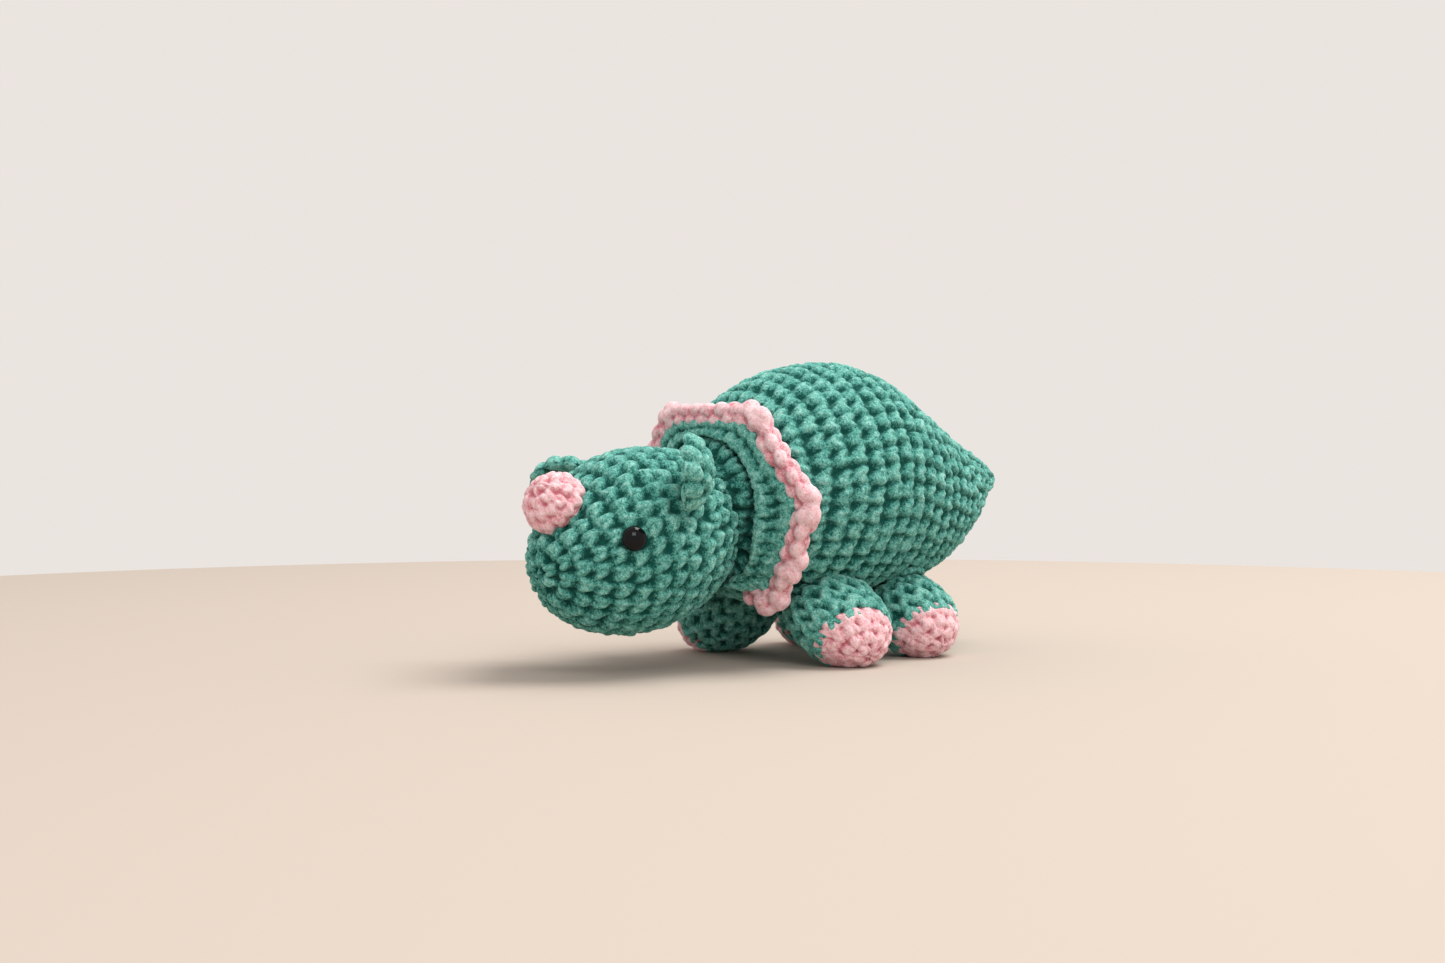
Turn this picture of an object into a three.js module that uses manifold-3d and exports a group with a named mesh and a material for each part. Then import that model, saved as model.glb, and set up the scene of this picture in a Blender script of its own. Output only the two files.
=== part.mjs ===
// Stuffed crocheted dinosaur with a neck frill and one nose horn. It stands on four ball feet on z = 0,
// its head points along -Y, its tail along +Y and its left side along +X. All lengths are in millimetres.
import * as THREE from 'three';
import { mergeVertices } from 'three/addons/utils/BufferGeometryUtils.js';
import Module from 'manifold-3d';

// Fabric, yarn and fits
const FABRIC = 5;                 // thickness of the crocheted fabric
const GAP = 0.3;                  // air left between two pieces that touch
const CRUMB = 0.1;                // mm3, the largest loose bit that is taken for a crumb
const SWING_GAP = 0.5;            // air left beside a piece that moves
const SEAM_YARN = 1.5;            // radius of the sewing yarn
const CUT_MARGIN = 40;            // how far a cutting block reaches past what it cuts

// Body
const BODY_RADIUS = 53;           // at its widest
const BODY_WIDEST_Y = -22;
const BODY_FRONT = 80;            // from the widest section to the front of the shoulder curve
const BODY_REAR = 122.5;          // from the widest section to the tail tip
const TAIL_POWER = 1.66;          // shape of the taper: 1 is a straight cone, 2 is a bullet
const BELLY_Z = 24;               // height of the belly above the floor
const SPINE_Z = BELLY_Z + BODY_RADIUS;
const NECK_DROP = 10;             // the axis falls by this towards the neck
const TAIL_SAG = 7.4;             // the axis sags by this ahead of the tail tip
const TAIL_SAG_START_Y = -10;
const TAIL_SAG_LENGTH = 112;

// Neck: a ball that the back of the head turns on
const NECK_BALL = 30.8;
const NECK_Y = -74;
const NECK_Z = SPINE_Z - NECK_DROP;
const NECK_OPENING_Y = NECK_Y - 0.682 * NECK_BALL;   // the body's fabric is open in front of this
const NECK_WAD = NECK_BALL - FABRIC - 2 * GAP;
const NECK_GAP = 1.2;                   // air round the ball, so that its flats can turn past each other
const SHOULDER_SET_BACK = 0.39 * NECK_BALL;   // the shoulders start this far ahead of the neck's centre
const NOD = 8;                          // degrees each way
const TURN = 6;

// Head: an egg lying along an axis that points down at the nose
const HEAD_TILT = 15;
const HEAD_HALF_LENGTH = 49;
const HEAD_RADIUS = 37.5;
const HEAD_Y = NECK_Y - 50.3;
const HEAD_Z = NECK_Z - 13;
const SNOUT_NARROWING = 0.08;     // the nose half is this much slimmer, all taken off its top
const NECK_SEAM_RADIUS = 0.73 * NECK_BALL;

// Nose horn
const HORN_RADIUS = 12.8;
const HORN_FABRIC = 4;
const HORN_Y = HEAD_Y - 39.7;
const HORN_Z = HEAD_Z + HEAD_RADIUS - 22;
const HORN_LEAN = 0.8;            // forward share of the horn's direction, against 1 upwards
const HORN_SUNK = 3.2;            // the sewn edge lies this far under the horn's centre
const HORN_TIP = 5;               // degrees each way
const HORN_SEAM_RADIUS = 9.5;

// Eyes
const EYE_RADIUS = 5;
const EYE_DOME = 3.6;
const EYE_ALONG_HEAD = 22.8;      // from the head's centre towards the nose
const EYE_ANGLE = 18;             // degrees above the head's side
const EYE_STEM = 1.8;
const EYE_STEM_LENGTH = 10;
const WASHER_RADIUS = 6;
const WASHER_THICKNESS = 1.6;

// Ears: cupped leaves that stand out from the head
const EAR_X = HEAD_RADIUS + 4.5;
const EAR_Y = HEAD_Y - 2.7;
const EAR_Z = { left: HEAD_Z + 28.5, right: HEAD_Z + 24.5 };
const EAR_DROOP = { left: 0, right: 50 };   // degrees that the hollow side tips down
const EAR_OUTWARD = 45;           // degrees from straight ahead
const EAR_HALF_LENGTH = 16.5;
const EAR_HALF_HEIGHT = 16.5;
const EAR_HALF_DEPTH = 8;
const EAR_HOLLOW_SHIFT = 6;
const EAR_RIM = 3.2;
const EAR_FLAP = 12;              // degrees each way

// Frill
const FRILL_THICKNESS = 6;
const FRILL_Y = -72;
const FRILL_TOP = { x: 0.56 * BODY_RADIUS, z: NECK_Z + 0.81 * BODY_RADIUS };
const FRILL_SIDE = { x: 1.066 * BODY_RADIUS, z: NECK_Z + 0.04 * BODY_RADIUS };
const FRILL_LOWER = { x: 0.84 * BODY_RADIUS, z: NECK_Z - 0.47 * BODY_RADIUS };
const FRILL_BOTTOM = { x: 0.566 * BODY_RADIUS, z: NECK_Z - 0.8 * BODY_RADIUS };
const FRILL_END = { x: 0.264 * BODY_RADIUS, z: NECK_Z - 0.755 * BODY_RADIUS };
const FRILL_LEAN = 0.17;          // forward lean above the side corners
const FRILL_FLARE = 0.36;         // how fast it comes forward towards the neck
const FRILL_INNER_RADIUS = 24;
const FRILL_OUTER_RADIUS = BODY_RADIUS + 2;
const BORDER_RADIUS = 4.3;

// Legs: egg-shaped balls pointing outwards and down, flat where they stand
const LEG_TILT = 32;              // degrees below level
const LEG_FORWARD = 6;            // degrees ahead of straight outwards
const FRONT_LEG = {
  x: 0.651 * BODY_RADIUS,
  y: -41,
  along: 0.5 * BODY_RADIUS,
  wide: 0.42 * BODY_RADIUS,
  across: 0.33 * BODY_RADIUS,
};
const REAR_LEG = {
  x: 0.557 * BODY_RADIUS,
  y: 10.5,
  along: 0.44 * BODY_RADIUS,
  wide: 0.377 * BODY_RADIUS,
  across: 0.317 * BODY_RADIUS,
};
const FOOT_FLAT = 1.2;            // depth pressed flat under each foot
const SOLE_START = 0.5;           // where the sole's colour starts, as a share of the leg's half length
const LEG_SWING = 8;              // degrees each way
const LEG_SEAM_RADIUS = 10.5;

// Facets
const ROUND = 18;
const ROUND_SMALL = 14;
const RING_SIDES = 12;
const PROFILE_STEPS = 9;
const TUBE_SIDES = 5;
const DOME_STEPS = 3;

const TEAL = { color: 0x4a9585, roughness: 0.95, metalness: 0 };
const PINK = { color: 0xe9b7ba, roughness: 0.95, metalness: 0 };
const FIBRE = { color: 0xf3f1ec, roughness: 1, metalness: 0 };
const EYE_BLACK = { color: 0x0a0a0c, roughness: 0.15, metalness: 0 };
const WASHER_WHITE = { color: 0xe4e4e0, roughness: 0.5, metalness: 0 };

const wasm = await Module();
wasm.setup();

const X_AXIS = new THREE.Vector3(1, 0, 0);
const Y_AXIS = new THREE.Vector3(0, 1, 0);
const Z_AXIS = new THREE.Vector3(0, 0, 1);
const radians = THREE.MathUtils.degToRad;
const smooth = THREE.MathUtils.smoothstep;

// ---- geometry and solids ----

function solid(geometry) {
  const plain = geometry.clone();
  plain.deleteAttribute('normal');
  plain.deleteAttribute('uv');
  const merged = mergeVertices(plain, 1e-4);
  const triVerts = Uint32Array.from(merged.index.array);
  const build = () => new wasm.Manifold(new wasm.Mesh({
    numProp: 3,
    vertProperties: Float32Array.from(merged.attributes.position.array),
    triVerts,
  }));
  const shape = build();
  if (shape.volume() > 0) return shape;
  for (let i = 0; i < triVerts.length; i += 3) {
    [triVerts[i], triVerts[i + 1]] = [triVerts[i + 1], triVerts[i]];
  }
  return build();
}

function toGeometry(shape) {
  const mesh = shape.getMesh();
  const geometry = new THREE.BufferGeometry();
  geometry.setAttribute('position', new THREE.BufferAttribute(Float32Array.from(mesh.vertProperties), 3));
  geometry.setIndex(new THREE.BufferAttribute(Uint32Array.from(mesh.triVerts), 1));
  geometry.computeVertexNormals();
  return geometry;
}

function displaced(geometry, move) {
  const position = geometry.attributes.position;
  const point = new THREE.Vector3();
  for (let i = 0; i < position.count; i += 1) {
    point.fromBufferAttribute(position, i);
    move(point);
    position.setXYZ(i, point.x, point.y, point.z);
  }
  return geometry;
}

function ball(radius, centre, sides = ROUND) {
  return new THREE.SphereGeometry(radius, sides, sides / 2).translate(centre.x, centre.y, centre.z);
}

// An ellipsoid with its poles along Y, turned by a quaternion and moved to its centre.
function egg(halfAxes, turn, centre, sides = ROUND_SMALL) {
  const geometry = new THREE.SphereGeometry(1, sides, sides / 2);
  geometry.scale(halfAxes.x, halfAxes.y, halfAxes.z);
  return geometry.applyQuaternion(turn).translate(centre.x, centre.y, centre.z);
}

// A block with one face on a plane and the rest on the side the direction points to.
function halfSpace(onPlane, direction, reach) {
  const turn = new THREE.Quaternion().setFromUnitVectors(Z_AXIS, direction);
  const cut = new THREE.BoxGeometry(2 * reach, 2 * reach, reach).translate(0, 0, reach / 2);
  return cut.applyQuaternion(turn).translate(onPlane.x, onPlane.y, onPlane.z);
}

// A ring of yarn about a direction.
function ring(centre, direction, radius, yarn) {
  const profile = [];
  for (let i = 0; i <= TUBE_SIDES; i += 1) {
    const angle = 2 * Math.PI * (i % TUBE_SIDES) / TUBE_SIDES;
    profile.push(new THREE.Vector2(radius + yarn * Math.cos(angle), yarn * Math.sin(angle)));
  }
  const geometry = new THREE.LatheGeometry(profile, RING_SIDES);
  const turn = new THREE.Quaternion().setFromUnitVectors(Y_AXIS, direction);
  return geometry.applyQuaternion(turn).translate(centre.x, centre.y, centre.z);
}

function rotated(geometry, pivot, axis, degrees) {
  const turn = new THREE.Quaternion().setFromAxisAngle(axis, radians(degrees));
  const copy = geometry.clone().translate(-pivot.x, -pivot.y, -pivot.z);
  return copy.applyQuaternion(turn).translate(pivot.x, pivot.y, pivot.z);
}

// The two ends of a hinge's range are enough where the hinge lies on the obstacle's surface.
const ENDS = [-1, 1];

// Cuts away from a moving solid all that a fixed obstacle would meet over the hinge's range.
function clearedOf(shape, obstacle, hinge, shares = [-1, 0, 1]) {
  let left = shape;
  for (const share of shares) {
    left = left.subtract(solid(rotated(obstacle, hinge.pivot, hinge.axis, share * hinge.range)));
  }
  return left;
}

// ---- body ----

function bodyAxisZ(y) {
  const front = NECK_Y - SHOULDER_SET_BACK;
  const middle = -2;
  if (y < middle) return SPINE_Z - NECK_DROP * (Math.min(middle - y, middle - front) / (middle - front)) ** 2;
  const along = THREE.MathUtils.clamp((y - TAIL_SAG_START_Y) / TAIL_SAG_LENGTH, 0, 1);
  return SPINE_Z - TAIL_SAG * Math.sin(Math.PI * along) ** 2;
}

function bodyRadius(y) {
  const along = y - BODY_WIDEST_Y;
  if (along < 0) return BODY_RADIUS * Math.sqrt(Math.max(0, 1 - (along / BODY_FRONT) ** 2));
  return BODY_RADIUS * (1 - Math.min(1, along / BODY_REAR) ** TAIL_POWER);
}

// The body's surface moved inwards by an inset, or outwards if it is negative.
function bodySurface(inset) {
  const front = BODY_WIDEST_Y - BODY_FRONT + inset;
  const rear = BODY_WIDEST_Y + BODY_REAR - inset * 2;
  const profile = [new THREE.Vector2(0, front)];
  for (let i = 1; i < 2 * PROFILE_STEPS; i += 1) {
    const y = THREE.MathUtils.lerp(front, rear, 0.5 - 0.5 * Math.cos(Math.PI * i / (2 * PROFILE_STEPS)));
    const unscaled = THREE.MathUtils.mapLinear(
      y, front, rear, BODY_WIDEST_Y - BODY_FRONT, BODY_WIDEST_Y + BODY_REAR);
    const radius = bodyRadius(unscaled) * (1 - inset / BODY_RADIUS);
    profile.push(new THREE.Vector2(radius, y));
  }
  profile.push(new THREE.Vector2(0, rear));
  return displaced(new THREE.LatheGeometry(profile, ROUND), (p) => {
    p.z += bodyAxisZ(p.y);
  });
}

const headForward = new THREE.Vector3(0, -Math.cos(radians(HEAD_TILT)), -Math.sin(radians(HEAD_TILT)));
const headUp = new THREE.Vector3(0, -Math.sin(radians(HEAD_TILT)), Math.cos(radians(HEAD_TILT)));
const headCentre = new THREE.Vector3(0, HEAD_Y, HEAD_Z);
const neckCentre = new THREE.Vector3(0, NECK_Y, NECK_Z);
const shoulderStart = neckCentre.clone().addScaledVector(headForward, SHOULDER_SET_BACK);

function bodyOuter(inset) {
  const aheadOfShoulders = solid(halfSpace(shoulderStart, headForward, BODY_FRONT + CUT_MARGIN));
  return solid(bodySurface(inset)).subtract(aheadOfShoulders).add(solid(ball(NECK_BALL - inset, neckCentre)));
}

// ---- head ----

function headSurface(inset) {
  const halfLength = HEAD_HALF_LENGTH - inset;
  const radius = HEAD_RADIUS - inset;
  const profile = [];
  for (let i = 0; i <= PROFILE_STEPS; i += 1) {
    const angle = Math.PI * (i / PROFILE_STEPS - 0.5);
    const across = i % PROFILE_STEPS ? radius * Math.cos(angle) : 0;
    profile.push(new THREE.Vector2(across, halfLength * Math.sin(angle)));
  }
  const geometry = displaced(new THREE.LatheGeometry(profile, ROUND), (p) => {
    const slim = SNOUT_NARROWING * smooth(p.y / halfLength, 0.1, 0.8);
    const ringRadius = Math.hypot(p.x, p.z);
    p.x *= 1 - slim;
    p.z = p.z * (1 - slim) - ringRadius * slim;
  });
  const frame = new THREE.Matrix4().makeBasis(X_AXIS, headForward, headUp.clone().negate());
  const turned = displaced(geometry, (p) => {
    p.z *= -1;
  });
  return turned.applyMatrix4(frame).translate(headCentre.x, headCentre.y, headCentre.z);
}

function onHead(alongHead, angleUp, side, depth = 0) {
  const radius = HEAD_RADIUS * Math.sqrt(1 - (alongHead / HEAD_HALF_LENGTH) ** 2);
  const slim = SNOUT_NARROWING * smooth(alongHead / HEAD_HALF_LENGTH, 0.1, 0.8);
  const across = (radius * (1 - slim) - depth) * Math.cos(radians(angleUp));
  const up = (radius * (1 - slim) - depth) * Math.sin(radians(angleUp)) - radius * slim;
  return headCentre.clone()
    .addScaledVector(headForward, alongHead)
    .addScaledVector(headUp, up)
    .add(new THREE.Vector3(side * across, 0, 0));
}

// ---- eyes ----

function eyeTurn(side) {
  const outward = new THREE.Vector3(side * HEAD_HALF_LENGTH * Math.cos(radians(EYE_ANGLE)), 0, 0)
    .addScaledVector(headUp, HEAD_HALF_LENGTH * Math.sin(radians(EYE_ANGLE)))
    .addScaledVector(headForward, EYE_ALONG_HEAD)
    .normalize();
  return new THREE.Quaternion().setFromUnitVectors(Y_AXIS, outward);
}

function lathed(points, turn, centre) {
  const profile = points.map(([radius, height]) => new THREE.Vector2(radius, height));
  const geometry = new THREE.LatheGeometry(profile, ROUND_SMALL).applyQuaternion(turn);
  return geometry.translate(centre.x, centre.y, centre.z);
}

function eyeProfile() {
  const points = [[0, -EYE_STEM_LENGTH], [EYE_STEM, -EYE_STEM_LENGTH], [EYE_STEM, 0], [EYE_RADIUS, 0]];
  for (let i = 1; i <= DOME_STEPS; i += 1) {
    const angle = Math.PI / 2 * i / DOME_STEPS;
    const radius = i < DOME_STEPS ? EYE_RADIUS * Math.cos(angle) : 0;
    points.push([radius, GAP + (EYE_DOME - GAP) * Math.sin(angle)]);
  }
  return points;
}

function washerProfile() {
  const top = -FABRIC - 2 * GAP;
  const bottom = top - WASHER_THICKNESS;
  const bore = EYE_STEM + GAP;
  return [[bore, bottom], [WASHER_RADIUS, bottom], [WASHER_RADIUS, top], [bore, top], [bore, bottom]];
}

function postProfile(radius, from, to) {
  return [[0, from], [radius, from], [radius, to], [0, to]];
}

// ---- ears ----

function earOutward(side) {
  const angle = radians(EAR_OUTWARD);
  return new THREE.Vector3(side * Math.sin(angle), -Math.cos(angle), 0);
}

function earShape(side, height, droop) {
  const centre = new THREE.Vector3(side * EAR_X, EAR_Y, height);
  const outward = earOutward(side);
  const tip = new THREE.Quaternion().setFromAxisAngle(outward, side * radians(droop));
  const turn = new THREE.Quaternion().setFromAxisAngle(Z_AXIS, side * radians(EAR_OUTWARD)).premultiply(tip);
  const facing = outward.clone().cross(Z_AXIS).multiplyScalar(side).applyQuaternion(tip);
  const outer = egg(new THREE.Vector3(EAR_HALF_DEPTH, EAR_HALF_LENGTH, EAR_HALF_HEIGHT), turn, centre);
  const hollow = egg(
    new THREE.Vector3(EAR_HALF_DEPTH, EAR_HALF_LENGTH - EAR_RIM, EAR_HALF_HEIGHT - EAR_RIM),
    turn,
    centre.clone().addScaledVector(facing, EAR_HOLLOW_SHIFT));
  return solid(outer).subtract(solid(hollow));
}

function earBase(side, height) {
  return new THREE.Vector3(side * EAR_X, EAR_Y, height).addScaledVector(earOutward(side), -EAR_HALF_LENGTH);
}

// ---- frill ----

function frillY(x, z) {
  const radius = Math.hypot(x, z - NECK_Z);
  const lean = FRILL_LEAN * Math.max(0, z - FRILL_SIDE.z);
  const flare = FRILL_FLARE * smooth(z, FRILL_BOTTOM.z, NECK_Z);
  return FRILL_Y - lean - flare * Math.max(0, FRILL_OUTER_RADIUS - radius);
}

function frillOutline() {
  const half = [FRILL_END, FRILL_BOTTOM, FRILL_LOWER, FRILL_SIDE, FRILL_TOP];
  const left = half.map((corner) => new THREE.Vector2(corner.x, corner.z));
  const right = left.map((corner) => new THREE.Vector2(-corner.x, corner.y)).reverse();
  return [...left, ...right];
}

// Where points are kept along each straight side of the frill, leaving out its corners to round them.
const CORNER_SHARES = [0.22, 0.5, 0.78];

// The frill's outline with its corners rounded off, moved inwards.
function frillEdge(inset) {
  const centre = new THREE.Vector2(0, NECK_Z);
  const corners = frillOutline();
  const points = [corners[0]];
  for (let i = 0; i + 1 < corners.length; i += 1) {
    for (const share of CORNER_SHARES) points.push(corners[i].clone().lerp(corners[i + 1], share));
  }
  points.push(corners[corners.length - 1]);
  return points.map((point) => {
    const inward = centre.clone().sub(point).normalize();
    return point.addScaledVector(inward, inset);
  });
}

function frillPanel() {
  const outer = frillEdge(1.4 * BORDER_RADIUS).slice(1, -1);
  const inner = [];
  const from = Math.atan2(outer[0].y - NECK_Z, outer[0].x);
  const sweep = Math.PI - 2 * from;
  for (let i = 0; i <= ROUND_SMALL; i += 1) {
    const angle = from + sweep * i / ROUND_SMALL;
    inner.push(new THREE.Vector2(
      FRILL_INNER_RADIUS * Math.cos(angle), NECK_Z + FRILL_INNER_RADIUS * Math.sin(angle)));
  }
  const shape = new THREE.Shape([...outer, ...inner.reverse()]);
  const flat = new THREE.ExtrudeGeometry(shape, { depth: FRILL_THICKNESS, bevelEnabled: false });
  flat.translate(0, 0, -FRILL_THICKNESS / 2);
  return displaced(flat, (p) => {
    p.set(p.x, frillY(p.x, p.y) + p.z, p.y);
  });
}

function frillBorder(growth) {
  const edge = frillEdge(BORDER_RADIUS);
  const path = edge.map((point) => new THREE.Vector3(point.x, frillY(point.x, point.y), point.y));
  const section = new THREE.Shape().absarc(0, 0, BORDER_RADIUS + growth, 0, 2 * Math.PI);
  return new THREE.ExtrudeGeometry(section, {
    steps: 40,
    curveSegments: 3,
    bevelEnabled: false,
    extrudePath: new THREE.CatmullRomCurve3(path),
  });
}

// ---- legs ----

function legFrame(leg, side) {
  const level = radians(LEG_FORWARD);
  const down = radians(LEG_TILT);
  const along = new THREE.Vector3(
    side * Math.cos(level) * Math.cos(down), -Math.sin(level) * Math.cos(down), -Math.sin(down));
  const reachDown = Math.hypot(leg.along * along.z, leg.across * Math.sqrt(1 - along.z ** 2));
  const centre = new THREE.Vector3(side * leg.x, leg.y, reachDown - FOOT_FLAT);
  const spine = new THREE.Vector3(0, leg.y, bodyAxisZ(leg.y));
  const toBody = spine.clone().sub(centre).normalize();
  const seam = spine.clone().addScaledVector(toBody, -bodyRadius(leg.y));
  return { along, centre, toBody, seam };
}

function legSurface(leg, frame, inset) {
  const fore = Y_AXIS.clone().addScaledVector(frame.along, -frame.along.y).normalize();
  const basis = new THREE.Matrix4().makeBasis(fore, frame.along, fore.clone().cross(frame.along));
  const turn = new THREE.Quaternion().setFromRotationMatrix(basis);
  const halfAxes = new THREE.Vector3(leg.wide - inset, leg.along - inset, leg.across - inset);
  return egg(halfAxes, turn, frame.centre);
}

function aboveFloor(shape, height) {
  const wide = 6 * CUT_MARGIN;
  const below = new THREE.BoxGeometry(2 * wide, 2 * wide, wide).translate(0, 0, height - wide / 2);
  return shape.subtract(solid(below));
}

// ---- assembly ----

const group = new THREE.Group();
group.name = 'stuffed_dinosaur';

// Drops the crumbs that a grazing cut can leave in or beside a solid. Anything larger stays, to be seen.
function withoutCrumbs(shape) {
  const kept = shape.decompose().filter((piece) => Math.abs(piece.volume()) > CRUMB);
  return kept.length === 1 ? kept[0] : shape;
}

function add(name, shape, look) {
  const mesh = new THREE.Mesh(toGeometry(withoutCrumbs(shape)), new THREE.MeshStandardMaterial(look));
  mesh.name = name;
  group.add(mesh);
}

const neckBall = (growth) => solid(ball(NECK_BALL + growth, neckCentre));
const neckSeamAlong = Math.sqrt((NECK_BALL - SEAM_YARN) ** 2 - NECK_SEAM_RADIUS ** 2);
const neckSeam = (growth) => ring(
  neckCentre.clone().addScaledVector(headForward, neckSeamAlong),
  headForward,
  NECK_SEAM_RADIUS,
  SEAM_YARN + growth);

const legs = [];
for (const [end, leg] of [['front', FRONT_LEG], ['rear', REAR_LEG]]) {
  for (const [name, side] of [['left', 1], ['right', -1]]) {
    const frame = legFrame(leg, side);
    const seam = (growth) => ring(frame.seam, frame.toBody, LEG_SEAM_RADIUS, SEAM_YARN + growth);
    legs.push({ name: `${end}_${name}`, leg, frame, seam });
  }
}

// Body fabric, fibre and the firm wad in the neck
const bodyFabric = bodyOuter(0);
const bodyHollow = bodyOuter(FABRIC);
const openNeck = solid(halfSpace(
  new THREE.Vector3(0, NECK_OPENING_Y, NECK_Z), new THREE.Vector3(0, -1, 0), NECK_BALL + CUT_MARGIN));
let bodyCover = bodyFabric.subtract(bodyHollow).subtract(openNeck).subtract(solid(neckSeam(GAP)));
for (const { seam } of legs) bodyCover = bodyCover.subtract(solid(seam(GAP)));
add('body_cover', bodyCover, TEAL);
const aheadOfNeck = solid(halfSpace(neckCentre, new THREE.Vector3(0, -1, 0), NECK_BALL + CUT_MARGIN));
const wadRoom = solid(ball(NECK_WAD + NECK_GAP, neckCentre));
add('body_stuffing', bodyOuter(FABRIC + GAP).subtract(aheadOfNeck).subtract(wadRoom), FIBRE);
add('neck_wad', solid(ball(NECK_WAD, neckCentre)), FIBRE);
add('neck_seam', solid(neckSeam(0)), TEAL);

// Frill, with its border round the outer edge and both ends
const border = solid(frillBorder(0));
add('frill_panel', solid(frillPanel()).subtract(bodyOuter(-GAP)).subtract(solid(frillBorder(2 * GAP))), TEAL);
add('frill_border', border.subtract(bodyOuter(-GAP)), PINK);

// Head
const headSolid = solid(headSurface(0)).subtract(neckBall(NECK_GAP));
const hornCentre = new THREE.Vector3(0, HORN_Y, HORN_Z);
const hornOut = headUp.clone().addScaledVector(headForward, HORN_LEAN).normalize();
const hornBase = hornCentre.clone().addScaledVector(hornOut, -HORN_SUNK);
const hornSeam = (growth) => ring(hornBase, hornOut, HORN_SEAM_RADIUS, SEAM_YARN + growth);
let headCover = headSolid.subtract(solid(headSurface(FABRIC))).subtract(solid(hornSeam(GAP)));
let headStuffing = solid(headSurface(FABRIC + GAP)).subtract(neckBall(NECK_GAP));
const eyes = [];
for (const [name, side] of [['left', 1], ['right', -1]]) {
  const turn = eyeTurn(side);
  const centre = onHead(EYE_ALONG_HEAD, EYE_ANGLE, side, -GAP);
  const post = (radius, from, to) => solid(lathed(postProfile(radius + GAP, from, to), turn, centre));
  headCover = headCover
    .subtract(post(EYE_STEM, -2 * FABRIC, FABRIC))
    .subtract(post(EYE_RADIUS, -GAP, FABRIC))
    .subtract(post(WASHER_RADIUS, -EYE_STEM_LENGTH, -FABRIC - GAP));
  headStuffing = headStuffing.subtract(post(WASHER_RADIUS, -EYE_STEM_LENGTH - GAP, FABRIC));
  eyes.push({ name, turn, centre });
}
add('head_cover', headCover, TEAL);
add('head_stuffing', headStuffing, FIBRE);
for (const { name, turn, centre } of eyes) {
  add(`eye_${name}`, solid(lathed(eyeProfile(), turn, centre)), EYE_BLACK);
  add(`eye_washer_${name}`, solid(lathed(washerProfile(), turn, centre)), WASHER_WHITE);
}

// Horn
const hornHinge = { pivot: hornBase, axis: X_AXIS, range: HORN_TIP };
const hornBall = (radius) => solid(ball(radius, hornCentre, ROUND_SMALL));
const onHorn = (shape) => clearedOf(
  clearedOf(shape, headSurface(-SWING_GAP), hornHinge, ENDS), hornSeam(SWING_GAP), hornHinge);
add('horn_cover', onHorn(hornBall(HORN_RADIUS)).subtract(hornBall(HORN_RADIUS - HORN_FABRIC)), PINK);
add('horn_stuffing', onHorn(hornBall(HORN_RADIUS - HORN_FABRIC - GAP)), FIBRE);
add('horn_seam', solid(hornSeam(0)), PINK);

// Ears
for (const [name, side] of [['left', 1], ['right', -1]]) {
  const hinge = { pivot: earBase(side, EAR_Z[name]), axis: Z_AXIS, range: EAR_FLAP };
  const ear = earShape(side, EAR_Z[name], EAR_DROOP[name]);
  add(`ear_${name}`, clearedOf(ear, headSurface(-SWING_GAP), hinge, ENDS), TEAL);
}

// Legs
for (const { name, leg, frame, seam } of legs) {
  const hinge = { pivot: frame.seam, axis: X_AXIS, range: LEG_SWING };
  const offBody = (shape) => clearedOf(
    clearedOf(shape, bodySurface(-SWING_GAP), hinge, ENDS), seam(SWING_GAP), hinge);
  const outer = aboveFloor(offBody(solid(legSurface(leg, frame, 0))), 0);
  const inner = aboveFloor(solid(legSurface(leg, frame, FABRIC)), FABRIC);
  const fibre = aboveFloor(solid(legSurface(leg, frame, FABRIC + GAP)), FABRIC + GAP);
  const shell = outer.subtract(inner);
  const colourChange = frame.centre.clone().addScaledVector(frame.along, SOLE_START * leg.along);
  const justAbove = colourChange.clone().addScaledVector(frame.along, -GAP);
  add(`leg_${name}`, shell.subtract(solid(halfSpace(justAbove, frame.along, CUT_MARGIN))), TEAL);
  add(`sole_${name}`, shell.intersect(solid(halfSpace(colourChange, frame.along, CUT_MARGIN))), PINK);
  add(`leg_stuffing_${name}`, offBody(fibre), FIBRE);
  add(`leg_seam_${name}`, solid(seam(0)), TEAL);
}

// The origin is under the middle of the whole toy.
const box = new THREE.Box3().setFromObject(group);
const middle = box.getCenter(new THREE.Vector3());
for (const mesh of group.children) mesh.geometry.translate(-middle.x, -middle.y, -box.min.z);

export default group;
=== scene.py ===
import math

import bpy
import numpy as np
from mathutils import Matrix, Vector


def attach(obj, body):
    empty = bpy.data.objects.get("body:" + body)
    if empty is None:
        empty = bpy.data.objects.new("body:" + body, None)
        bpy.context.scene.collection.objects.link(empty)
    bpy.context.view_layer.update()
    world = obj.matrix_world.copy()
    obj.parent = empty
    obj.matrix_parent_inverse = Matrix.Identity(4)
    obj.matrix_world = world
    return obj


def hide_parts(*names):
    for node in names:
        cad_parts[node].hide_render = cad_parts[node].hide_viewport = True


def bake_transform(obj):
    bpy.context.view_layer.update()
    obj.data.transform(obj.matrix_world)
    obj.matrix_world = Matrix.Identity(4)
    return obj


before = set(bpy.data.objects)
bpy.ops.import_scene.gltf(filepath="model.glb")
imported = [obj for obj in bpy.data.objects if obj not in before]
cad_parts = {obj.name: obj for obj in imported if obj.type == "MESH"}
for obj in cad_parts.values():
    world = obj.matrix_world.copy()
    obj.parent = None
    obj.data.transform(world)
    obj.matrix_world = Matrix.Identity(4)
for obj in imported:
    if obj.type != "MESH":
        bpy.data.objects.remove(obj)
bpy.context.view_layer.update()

# ---- dimensions in millimetres, with the head along -Y and z = 0 on the floor ----

CENTRE_Y = 38.15            # from this working frame to the row frame

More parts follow.
